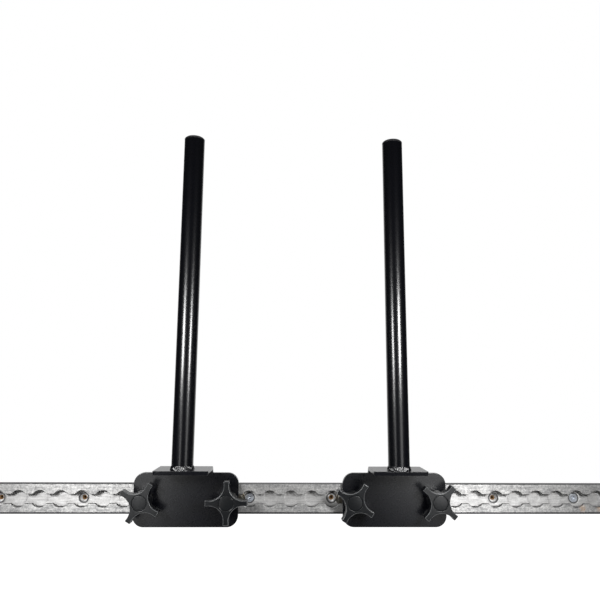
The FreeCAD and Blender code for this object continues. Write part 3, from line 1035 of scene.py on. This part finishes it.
def buildBracket(side):
    # a flat pattern with rounded edges, then bent: above the bend line a point at depth w turns about the
    # bend's centre on radius (outer - w), by an angle that grows with its height along the pattern
    s = bracketSize
    node = side + "_bracket"
    low, high = boxOf(node)
    centreX = (low[0] + high[0]) / 2
    halfWidth, halfHeight = (high[0] - low[0]) / 2, -low[2]
    plateBack, tabTop, tabFront = high[1], high[2], low[1]
    outer = s["bendInner"] + s["thickness"]
    bendStart = tabTop - outer
    bendRun = math.pi / 2 * (outer + s["bendInner"]) / 2
    tabEnd = bendStart + bendRun + (plateBack - outer - tabFront)
    r, c = s["cornerRadius"], s["innerFillet"]
    tab = s["tabHalf"]
    bendRows = bendStart + bendRun * np.linspace(0, 1, s["bendSteps"] + 1)
    bendRows = bendRows[bendRows > halfHeight + c + 0.1]
    rightHalf = np.concatenate([
        np.array([[0, -halfHeight]]),
        arcPoints((halfWidth - r, -halfHeight + r), r, -90, 0, s["cornerSteps"]),
        arcPoints((halfWidth - r, halfHeight - r), r, 0, 90, s["cornerSteps"]),
        arcPoints((tab + c, halfHeight + c), c, -90, -180, 5),
        np.stack([0 * bendRows + tab, bendRows], axis=-1),
        arcPoints((tab - s["tabCorner"], tabEnd - s["tabCorner"]), s["tabCorner"], 0, 90, 8),
    ])
    leftHalf = (rightHalf[1:] * np.array([-1, 1]))[::-1]
    outline = np.concatenate([rightHalf, leftHalf])
    studs = []
    for where in places:
        a, b = boxOf(f"{side}_{where}_washer")
        studs.append((a[0] + b[0]) / 2 - centreX)
    holes = [arcPoints((x, 0), s["holeRadius"], 0, -360, s["holeSteps"])[:-1] for x in studs]

    e, thick = s["edge"], s["thickness"]
    a = np.radians(np.linspace(0, 90, 5))
    rim = [(e - e * math.sin(v), e - e * math.cos(v)) for v in a]
    rim += [(d, thick - w) for d, w in reversed(rim)]
    loops = [outline] + holes
    parts = []
    for loop in loops:
        grid = [np.concatenate([offsetLoop(loop, d), np.full((len(loop), 1), w)], axis=1) for d, w in rim]
        parts.append(surface(np.array(grid), False, True))

    # the two flat faces share one triangulation, with a row across the tongue at each step of the bend
    inner = [offsetLoop(loop, e) for loop in loops]
    flat = np.concatenate(inner)
    starts = np.cumsum([0] + [len(loop) for loop in inner])
    edges = []
    for begin, end in zip(starts[:-1], starts[1:]):
        edges += [(i, i + 1) for i in range(begin, end - 1)] + [(end - 1, begin)]
    onSide = np.abs(np.abs(flat[:, 0]) - tab + e) < samePoint
    for row in bendRows:
        ends = np.flatnonzero((np.abs(flat[:, 1] - row) < samePoint) & onSide)
        edges.append((int(ends[0]), int(ends[1])))
    found = delaunay_2d_cdt([Vector(p) for p in flat], edges, [list(range(len(inner[0])))], 1, 1e-7)
    points = np.array([tuple(p) for p in found[0]])
    triangles = np.array(found[2])
    middles = points[triangles].mean(axis=1)
    solid = np.ones(len(triangles), bool)
    # a triangle inside a hole has its middle nearer to the hole's centre than the sides of the rim
    nearest = (s["holeRadius"] + e) * math.cos(math.pi / s["holeSteps"])
    for x in studs:
        solid &= np.hypot(middles[:, 0] - x, middles[:, 1]) > nearest
    triangles = triangles[solid].tolist()
    for w in (0.0, thick):
        parts.append((np.concatenate([points, np.full((len(points), 1), w)], axis=1), triangles))

    bent = []
    lean = math.tan(math.radians(s["endLean"]))
    for pattern, faces in parts:
        u, v, w = pattern.T
        v = v - w * lean * np.clip((v - tabEnd) / s["leanRun"] + 1, 0, 1)
        angle = np.clip((v - bendStart) / bendRun, 0, 1) * math.pi / 2
        past = np.maximum(v - bendStart - bendRun, 0)
        reach = outer - w
        y = np.where(v > bendStart, plateBack - outer + reach * np.cos(angle) - past, plateBack - w)
        z = np.where(v > bendStart, bendStart + reach * np.sin(angle), v)
        bent.append((np.stack([centreX + u, y, z], axis=-1), faces))
    return addPiece(side + "_bracketPlate", bent, side + "_bracket", powderCoat, "black_powder_coat",
                    [node])


# Posts, welds and end plugs

postSize = {"wall": 1.65, "edge": 0.35, "around": 96}
weldSize = {
    "leg": 1.6,
    "height": 5.0,
    "ripples": 44,
    "rippleDepth": 0.42,
    "rippleCurve": 2.4,      # how far each ripple lags at the middle of the bead, in radians of its phase
    "wanders": ((0.5, 3, 1), (0.35, 7, -2)),     # size, waves round the post, and share of the turn
    "crown": 0.15,
    "crownPower": 0.7,
    "wanderBulge": 0.12,
    "restart": 2.1,          # where the bead was taken up again, in radians
    "restartBulge": 0.35,
    "restartSpread": 0.06,
    "sink": 0.05,            # into the post
    "around": 352,
    "across": 12,
}
plugSize = {
    "dome": 1.6,
    "shoulder": 1.2,
    "edge": 0.6,
    "barbRadius": 11.0,
    "neckRadius": 9.8,
    "barbHeight": 7.0,
    "barbRim": 0.6,
    "barbRound": 0.25,
    "barbDrop": 0.02,
    "barbs": 2,
    "headRound": 0.2,
    "domeInset": 0.5,
    "around": 96,
}


def buildPost(side):
    # a tube: a closed profile of (radius, height) turned about the post's axis
    s = postSize
    low, high = boxOf(side + "_post")
    middle = (low + high) / 2
    outer = (high[0] - low[0]) / 2
    bore = outer - s["wall"]
    e = s["edge"]
    corners = [(bore, low[2], e), (outer, low[2], e), (outer, high[2], e), (bore, high[2], e)]
    profile = roundedPath(corners, 3)
    points, faces = revolved(profile, s["around"])
    parts = [(points + np.array([middle[0], middle[1], 0]), faces)]
    return addPiece(side + "_postTube", parts, side + "_bracket", tubeCoat, "black_powder_coat",
                    [side + "_post"])


def buildWeld(side, turn):
    # a fillet round the post: its face bulges by ripples cos(n t + curve), and swells where the bead
    # was taken up again
    s = weldSize
    low, high = boxOf(side + "_post_weld")
    middle = (low + high) / 2
    inner = (high[0] - low[0]) / 2 - s["leg"]
    t = np.linspace(0, 2 * np.pi, s["around"], endpoint=False)
    v = np.linspace(0, 1, s["across"] + 1)[:, None]
    wander = sum(size * np.sin(waves * t + share * turn) for size, waves, share in s["wanders"])
    ripple = 0.5 + 0.5 * np.cos(s["ripples"] * t + wander - s["rippleCurve"] * 4 * v * (1 - v))
    away = (t - s["restart"] - turn + np.pi) % (2 * np.pi) - np.pi
    swell = s["restartBulge"] * np.exp(-away ** 2 / s["restartSpread"])
    crown = s["crown"] - s["rippleDepth"] * (1 - ripple) + swell + s["wanderBulge"] * wander
    crown = crown * np.sin(np.pi * v) ** s["crownPower"]
    slant = math.hypot(s["leg"], s["height"])
    out = np.array([s["height"], s["leg"]]) / slant
    r = inner + s["leg"] * (1 - v) + out[0] * crown
    h = s["height"] * v + out[1] * crown
    sunk = inner - s["sink"]
    r = np.clip(r, sunk, inner + s["leg"])
    h = np.clip(h, 0, s["height"])
    face = np.stack([r * np.cos(t), r * np.sin(t), h], axis=-1)
    foot = np.stack([sunk * np.cos(t), sunk * np.sin(t), 0 * t], axis=-1)[None]
    rows = np.concatenate([foot, face])
    points, faces = surface(rows, True, True)
    points = points + np.array([middle[0], middle[1], low[2]])
    return addPiece(side + "_weldBead", [(points, faces)], side + "_bracket", tubeCoat,
                    "black_powder_coat", [side + "_post_weld"], smoothAngle=70)


def buildPlug(side):
    # a domed head and a stem of barbs, as one profile turned about the post's axis
    s = plugSize
    low, high = boxOf(side + "_post_plug")
    postTop = boxOf(side + "_post")[1][2]
    middle = (low + high) / 2
    outer = (high[0] - low[0]) / 2
    rim = high[2] - s["dome"]
    corners = [(0, low[2], 0)]
    for barb in range(s["barbs"]):
        base = low[2] + barb * s["barbHeight"]
        barbTop = base + s["barbHeight"]
        corners += [
            (s["neckRadius"], base, 0),
            (s["barbRadius"], barbTop - s["barbRim"], s["barbRound"]),
            (s["barbRadius"], barbTop - s["barbDrop"], 0),
        ]
    corners += [
        (outer, postTop, s["headRound"]),
        (outer, rim - s["shoulder"], s["edge"]),
        (outer - s["shoulder"], rim, s["edge"]),
    ]
    path = roundedPath(corners + [(0, rim, 0)], 4)[:-1]
    a = np.linspace(1, 0, 13)
    width = outer - s["shoulder"] - s["domeInset"]
    domed = np.stack([width * a, rim + (high[2] - rim) * (1 - a ** 2)], axis=-1)
    profile = np.concatenate([path, domed])
    points, faces = revolved(profile, s["around"], False)
    points = points + np.array([middle[0], middle[1], 0])
    return addPiece(side + "_endPlug", [(points, faces)], side + "_bracket", plugPlastic,
                    "black_plastic", [side + "_post_plug"])


for side, turn in (("left", 0.4), ("right", 2.9)):
    buildBracket(side)
    buildPost(side)
    buildWeld(side, turn)
    buildPlug(side)
print("brackets, posts, welds and plugs made")


# Star knobs, caps and washers

knobSize = {
    "tip": 25.0,
    "waist": 11.4,
    "tipHalf": 3.5,
    "chamfer": 0.8,
    "cornerRadius": 1.1,
    "height": 20.5,
    "starThickness": 10.5,
    "frontEdge": 0.95,
    "backEdge": 0.5,
    "crown": 0.22,
    "hubBase": 11.9,
    "hubTop": 11.2,
    "hubEdge": 0.6,
    "bore": 5.2625,
    "pocketFlats": 14.39,
    "pocketHeight": 4.2,
    "recessRadius": 8.85,
    "recessEdge": 0.45,
    "seat": 18.95,
    "overlap": 0.3,          # how far the hub runs up into the star
    "faceRows": (0.3, 0.6, 0.85),    # shares of the way from the star's edge to the recess
    "tipSteps": 3,
    "cornerSteps": 6,
    "sideSteps": 22,
}
knobTurns = {
    ("left", "outer"): 60.0,
    ("left", "inner"): 0.0,
    ("right", "outer"): 47.0,
    ("right", "inner"): 57.0,
}
capSize = {"radius": 8.7, "thickness": 1.3, "dome": 0.3, "edge": 0.4, "backEdge": 0.1, "around": 96}
washerSize = {"edge": 0.25, "bore": 5.1625, "around": 72}


def starOutline():
    # half an arm, mirrored and turned four times: a flat tip, a corner arc, and a hollow arc through
    # the waist
    s = knobSize
    end = np.array([s["tip"] - s["chamfer"], s["tipHalf"]])
    # the hollow's centre (c, c) is as far from the arm's end as from the waist
    c = (end @ end - s["waist"] ** 2) / (2 * (end.sum() - math.sqrt(2) * s["waist"]))
    centre = np.array([c, c])
    hollow = math.sqrt(2) * c - s["waist"]
    r = s["cornerRadius"]
    cornerX = s["tip"] - r
    cornerY = c - math.sqrt((hollow + r) ** 2 - (cornerX - c) ** 2)
    corner = np.array([cornerX, cornerY])
    sweep = math.degrees(math.atan2(c - cornerY, c - cornerX))
    flatY = np.linspace(0, cornerY, s["tipSteps"] + 1)[:-1]
    tip = np.stack([s["tip"] + 0 * flatY, flatY], axis=-1)
    tipOut = np.stack([1 + 0 * flatY, 0 * flatY], axis=-1)
    bend = arcPoints((0, 0), 1.0, 0, sweep, s["cornerSteps"])
    start = math.degrees(math.atan2(cornerY - c, cornerX - c))
    inward = arcPoints((0, 0), 1.0, start, -135, s["sideSteps"])[1:]
    points = np.concatenate([tip, corner + r * bend, centre + hollow * inward])
    normals = np.concatenate([tipOut, bend, -inward])
    swap = np.array([[0, 1], [1, 0]])
    points = np.concatenate([points, (points[1:-1] @ swap)[::-1]])
    normals = np.concatenate([normals, (normals[1:-1] @ swap)[::-1]])
    joined, facing = [], []
    for arm in range(4):
        a = arm * math.pi / 2
        spin = np.array([[math.cos(a), math.sin(a)], [-math.sin(a), math.cos(a)]])
        # the mirrored half ends on the next arm's flat tip, and that tip's middle starts the next arm
        joined.append(points @ spin)
        facing.append(normals @ spin)
    return np.concatenate(joined), np.concatenate(facing)


def knobShells():
    # two closed rings of rows: the star with its cap recess, and the hub with its bore and hexagon pocket
    s = knobSize
    outline, normals = starOutline()
    count = len(outline)
    even = np.linspace(0, 2 * np.pi, count, endpoint=False)
    unit = np.stack([np.cos(even), np.sin(even)], axis=-1)
    sector = (even + np.pi / 6) % (np.pi / 3) - np.pi / 6
    hexagon = unit * (s["pocketFlats"] / 2 / np.cos(sector))[:, None]
    base = s["height"] - s["starThickness"]

    def row(flat, height):
        return np.concatenate([flat, np.zeros((count, 1)) + height], axis=1)

    def wornAndHighlit(low, high):
        # full edge wear and painted highlight along the rows from low to high of the star
        level = np.zeros((len(star), count))
        level[low:high] = 1.0
        return level.ravel()

    def crowned(flat):
        # the face falls away from its middle with the square of the radius
        fall = s["crown"] * (np.hypot(*flat.T) / s["tip"]) ** 2
        return np.concatenate([flat, (s["height"] - fall)[:, None]], axis=1)

    star = [row(hexagon, base)]
    e = s["backEdge"]
    for a in np.radians(np.linspace(0, 90, 4)):
        star.append(row(outline - normals * (e - e * math.sin(a)), base + e - e * math.cos(a)))
    e = s["frontEdge"]
    rimFlat = outline - normals * e
    rimTop = crowned(rimFlat)
    edgeFrom = len(star) + 2
    for a in np.radians(np.linspace(0, 90, 7)):
        flat = outline - normals * (e - e * math.cos(a))
        lift = rimTop[:, 2:] - e + e * math.sin(a)
        star.append(np.concatenate([flat, lift], axis=1))
    edgeTo = len(star) - 2
    g = s["recessEdge"]
    mouth = unit * (s["recessRadius"] + g)
    for share in s["faceRows"]:
        star.append(crowned(rimFlat * (1 - share) + mouth * share))
    top = s["height"] - s["crown"] * (s["recessRadius"] / s["tip"]) ** 2
    for a in np.radians(np.linspace(0, 90, 5)):
        star.append(row(unit * (s["recessRadius"] + g - g * math.sin(a)), top - g + g * math.cos(a)))
    star.append(row(unit * s["recessRadius"], s["seat"]))
    star.append(row(hexagon, s["seat"]))

    e = s["hubEdge"]
    hub = [row(unit * s["bore"], 0.0)]
    for a in np.radians(np.linspace(0, 90, 4)):
        hub.append(row(unit * (s["hubBase"] - e + e * math.sin(a)), e - e * math.cos(a)))
    hub.append(row(unit * s["hubTop"], base + s["overlap"]))
    hub.append(row(hexagon, base + s["overlap"]))
    hub.append(row(hexagon, s["pocketHeight"]))
    hub.append(row(unit * s["bore"], s["pocketHeight"]))
    starShell = (*surface(np.array(star), True, True), wornAndHighlit(edgeFrom, edgeTo))
    return starShell, surface(np.array(hub), True, True)


knobParts = knobShells()


def buildKnob(side, where):
    # the knob turned to its place, a domed cap, and a washer behind it; the nut keeps its own mesh
    name = f"{side}_{where}"
    washerLow, washerHigh = boxOf(name + "_washer")
    x = (washerLow[0] + washerHigh[0]) / 2
    back = boxOf(name + "_knob")[1][1]
    turn = knobTurns[side, where]
    parts = [(facingUser(turned(p, turn), x, back), *rest) for p, *rest in knobParts]
    addPiece(name + "_starKnob", parts, name + "_knob", knobPlastic, "black_plastic", [name + "_knob"])

    s = capSize
    rim = s["thickness"] - s["dome"]
    corners = [(0, 0, 0), (s["radius"], 0, s["backEdge"]), (s["radius"], rim, s["edge"]), (0, rim, 0)]
    a = np.linspace(1, 0, 10)
    width = s["radius"] - s["edge"]
    domed = np.stack([width * a, rim + s["dome"] * (1 - a ** 2)], axis=-1)[1:]
    profile = np.concatenate([roundedPath(corners)[:-1], domed])
    points, faces = revolved(profile, s["around"], False)
    cap = [(facingUser(points, x, boxOf(name + "_knob_cap")[1][1]), faces)]
    addPiece(name + "_faceCap", cap, name + "_knob", knobPlastic, "black_plastic", [name + "_knob_cap"])

    s = washerSize
    e, bore = s["edge"], s["bore"]
    outer = (washerHigh[0] - washerLow[0]) / 2
    thick = washerHigh[1] - washerLow[1]
    profile = roundedPath([(bore, 0, e), (outer, 0, e), (outer, thick, e), (bore, thick, e)], 3)
    points, faces = revolved(profile, s["around"])
    ring = [(facingUser(points, x, washerHigh[1]), faces)]
    addPiece(name + "_flatWasher", ring, name + "_washer", studZinc, "zinc_steel", [name + "_washer"])

    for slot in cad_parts[name + "_knob_nut"].material_slots:
        slot.material = studZinc


for side in sides:
    for where in places:
        buildKnob(side, where)
print("knobs, caps and washers made")


# Floor, lights and camera

stageSize = {
    "drop": 0.75,
    "left": -3.0,
    "right": 3.0,
    "front": -1.5,
    "back": 4.0,
    "glow": 0.8,
    "pale": (0.82, 0.82, 0.82),
    "dim": (0.05, 0.05, 0.05),      # in reflections, before the rack
    "dimTo": 0.3,
    "dimFrom": -0.1,
}


def buildFloor():
    # pale where it is seen; mirrors find it behind the rack, and the darker room's floor before it
    mesh = bpy.data.meshes.new("floor")
    s = stageSize
    z = -s["drop"]
    corners = [(s["left"], s["front"], z), (s["right"], s["front"], z), (s["right"], s["back"], z),
               (s["left"], s["back"], z)]
    mesh.from_pydata(corners, [], [(0, 1, 2, 3)])
    floor = bpy.data.objects.new("floor", mesh)
    bpy.context.scene.collection.objects.link(floor)
    material = bpy.data.materials.new("paleFloor")
    material.use_nodes = True
    tree = material.node_tree
    tree.nodes.clear()
    path = tree.nodes.new("ShaderNodeLightPath")
    mirror = math2(tree, "MAXIMUM", path.outputs["Is Glossy Ray"], path.outputs["Is Transmission Ray"])
    seen = math2(tree, "MAXIMUM", path.outputs["Is Camera Ray"], mirror)
    spot = tree.nodes.new("ShaderNodeTexCoord").outputs["Object"]
    y = addNode(tree, "ShaderNodeSeparateXYZ", {0: spot}).outputs[1]
    dimmed = math2(tree, "MULTIPLY", mirror, remap(tree, y, s["dimTo"], s["dimFrom"]))
    matte = addNode(tree, "ShaderNodeBsdfDiffuse", {"Color": mixColor(tree, dimmed, s["pale"], s["dim"])})
    lit = math2(tree, "SUBTRACT", seen, dimmed)
    glow = addNode(tree, "ShaderNodeEmission", {"Strength": math2(tree, "MULTIPLY", lit, s["glow"])})
    both = addNode(tree, "ShaderNodeAddShader", {0: matte.outputs[0], 1: glow.outputs[0]})
    addNode(tree, "ShaderNodeOutputMaterial", {0: both.outputs[0]})
    mesh.materials.append(material)


wallSize = {
    "gap": 0.8,              # behind the rail's back
    "halfHeight": 14.0,
    "inset": 2.0,            # inside the rail's ends
    "holeRadius": 1.5,
    "holeRange": (0.7, 1.3),         # shares of that radius between which the painted shade of the hole turns to wood
    "wood": (0.20, 0.115, 0.055),
    # painted shade for the inside of each pilot hole
    "dark": (0.008, 0.006, 0.005),
}


def buildWallStrip():
    # a strip of wall with a pilot hole behind each screw hole of the rail, the hole painted as a dark disc
    # of shade; only the camera sees it, and only from the front
    s = wallSize
    high = boxOf("track_rail")[1]
    x, z, y = (high[0] - s["inset"]) * mm, s["halfHeight"] * mm, (high[1] + s["gap"]) * mm
    mesh = bpy.data.meshes.new("wallStrip")
    mesh.from_pydata([(-x, y, -z), (x, y, -z), (x, y, z), (-x, y, z)], [], [(0, 1, 2, 3)])
    strip = bpy.data.objects.new("wallStrip", mesh)
    bpy.context.scene.collection.objects.link(strip)
    material = bpy.data.materials.new("wallWood")
    material.use_nodes = True
    tree = material.node_tree
    tree.nodes.clear()
    spot = tree.nodes.new("ShaderNodeTexCoord").outputs["Object"]
    along, _, up = addNode(tree, "ShaderNodeSeparateXYZ", {0: spot}).outputs
    # distance to the nearest screw hole: x folded at every fourth opening
    step = railSize["pitch"] * railSize["holeEvery"] * mm
    folded = math2(tree, "PINGPONG", along, step / 2)
    away = addNode(tree, "ShaderNodeCombineXYZ", {0: folded, 2: up}).outputs[0]
    away = addNode(tree, "ShaderNodeVectorMath", {0: away}, operation="LENGTH").outputs["Value"]
    # painted shade: a dark disc stands for the inside of each pilot hole
    pilotHoleShade = remap(tree, away, *(s["holeRadius"] * share * mm for share in s["holeRange"]))
    color = mixColor(tree, pilotHoleShade, s["dark"], s["wood"])
    matte = addNode(tree, "ShaderNodeBsdfDiffuse", {"Color": color})
    clear = tree.nodes.new("ShaderNodeBsdfTransparent")
    back = tree.nodes.new("ShaderNodeNewGeometry").outputs["Backfacing"]
    camera = tree.nodes.new("ShaderNodeLightPath").outputs["Is Camera Ray"]
    seen = math2(tree, "SUBTRACT", camera, back, clamp=True)
    both = addNode(tree, "ShaderNodeMixShader", {0: seen, 1: clear.outputs[0], 2: matte.outputs[0]})
    addNode(tree, "ShaderNodeOutputMaterial", {0: both.outputs[0]})
    mesh.materials.append(material)


worldLook = {
    "fill": 0.35,
    "room": 0.02,
    "roomFrom": 0.6,
    "whiteFrom": 0.95,
    "ceiling": 0.5,
    "ceilingFrom": 0.5,
    "ceilingTo": 0.9,
}


def buildWorld():
    # white where it is seen; mirrors find that behind the rack, a darker room round it and a pale ceiling
    world = bpy.data.worlds.new("softRoom")
    bpy.context.scene.world = world
    world.use_nodes = True
    tree = world.node_tree
    tree.nodes.clear()
    path = tree.nodes.new("ShaderNodeLightPath")
    mirror = math2(tree, "MAXIMUM", path.outputs["Is Glossy Ray"], path.outputs["Is Transmission Ray"])
    direction = tree.nodes.new("ShaderNodeTexCoord").outputs["Generated"]
    _, back, up = addNode(tree, "ShaderNodeSeparateXYZ", {0: direction}).outputs
    look = worldLook
    room = remap(tree, back, look["roomFrom"], look["whiteFrom"], look["room"], 1.0)
    ceiling = remap(tree, up, look["ceilingFrom"], look["ceilingTo"], 0.0, look["ceiling"])
    room = math2(tree, "MAXIMUM", room, ceiling)
    strength = mixValue(tree, mirror, look["fill"], room)
    strength = mixValue(tree, path.outputs["Is Camera Ray"], strength, 1.0)
    glow = addNode(tree, "ShaderNodeBackground", {"Color": (1, 1, 1, 1), "Strength": strength})
    addNode(tree, "ShaderNodeOutputWorld", {0: glow.outputs[0]})


lamps = {
    "leftLow": {
        "at": (-0.27, -0.555, -0.05), "aim": (-0.1, 0, -0.05), "size": (0.12, 0.22), "power": 0.135,
    },
    "rightLow": {
        "at": (0.385, -0.53, -0.025), "aim": (0.15, 0, -0.03), "size": (0.2, 0.19), "power": 0.175,
    },
    "leftHigh": {
        "at": (-0.35, -0.53, 0.24), "aim": (-0.2, 0, 0), "size": (0.17, 0.15), "power": 2.45,
    },
    "rightHigh": {
        "at": (0.38, -0.51, 0.24), "aim": (0.25, 0, 0), "size": (0.15, 0.15), "power": 2.5,
    },
}


def buildLamps():
    for name, s in lamps.items():
        data = bpy.data.lights.new(name, "AREA")
        data.shape = "RECTANGLE"
        data.size, data.size_y = s["size"]
        data.energy = s["power"]
        lamp = bpy.data.objects.new(name, data)
        bpy.context.scene.collection.objects.link(lamp)
        lamp.location = s["at"]
        lamp.rotation_euler = (Vector(s["aim"]) - Vector(s["at"])).to_track_quat("-Z", "Y").to_euler()
        lamp.visible_camera = False


view = {
    "at": (42.43, -722.01, 132.65),
    "yaw": 1.49,
    "pitch": 9.175,
    "roll": 0.34,
    "focalPixels": 554.1,
    "imagePixels": 600,
    "sensor": 36.0,
    "clip": (0.01, 100.0),   # metres
}


def buildCamera():
    # looks along yaw and pitch from straight ahead, then rolls about its own axis
    yaw, pitch, roll = (math.radians(view[k]) for k in ("yaw", "pitch", "roll"))
    ahead = Vector((math.sin(yaw) * math.cos(pitch), math.cos(yaw) * math.cos(pitch), math.sin(pitch)))
    across = ahead.cross(Vector((0, 0, 1))).normalized()
    up = across.cross(ahead)
    rolledAcross = across * math.cos(roll) + up * math.sin(roll)
    rolledUp = up * math.cos(roll) - across * math.sin(roll)
    data = bpy.data.cameras.new("camera")
    data.sensor_width = view["sensor"]
    data.lens = view["focalPixels"] / view["imagePixels"] * view["sensor"]
    camera = bpy.data.objects.new("camera", data)
    bpy.context.scene.collection.objects.link(camera)
    turn = Matrix((rolledAcross, rolledUp, -ahead)).transposed().to_4x4()
    camera.matrix_world = Matrix.Translation(Vector(view["at"]) * mm) @ turn
    data.clip_start, data.clip_end = view["clip"]
    bpy.context.scene.camera = camera


buildFloor()
buildWallStrip()
buildWorld()
buildLamps()
buildCamera()
bpy.context.scene.view_settings.view_transform = "Standard"
print("floor, lights and camera made")
